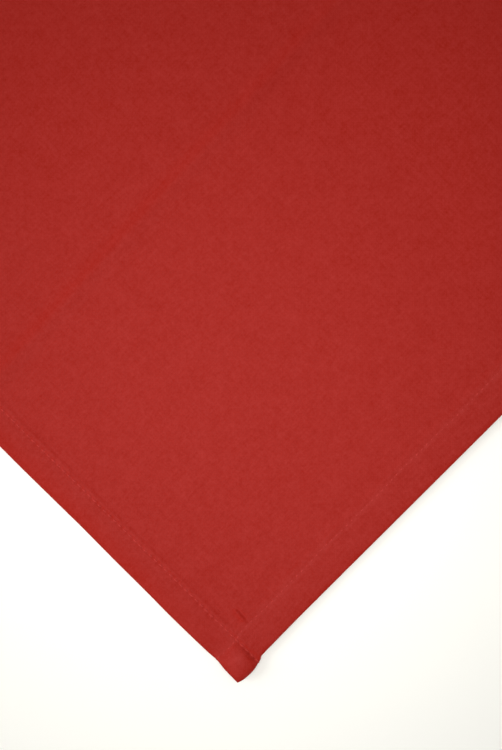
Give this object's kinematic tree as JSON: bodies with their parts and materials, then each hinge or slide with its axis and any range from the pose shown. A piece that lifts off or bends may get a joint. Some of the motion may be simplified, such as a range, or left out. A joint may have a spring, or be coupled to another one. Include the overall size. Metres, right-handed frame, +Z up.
{
  "type": "folded table runner",
  "caption": "Plain red woven table runner with narrow stitched hems, folded end to end and lying flat; unfolded, it runs down the middle of a table.",
  "frame": {"origin": "centre of the bounding box in plan, at the face the cloth rests on", "axes": "+X across the cloth, +Y along it from the two free ends to the fold, +Z up"},
  "size_m": [0.3364, 0.4606, 0.0058],
  "materials": {
    "cloth": "matt plain weave in red, with hem stitches in a lighter red thread"
  },
  "bodies": {
    "root": {"runner_cloth": "cloth"}
  },
  "joints": []
}
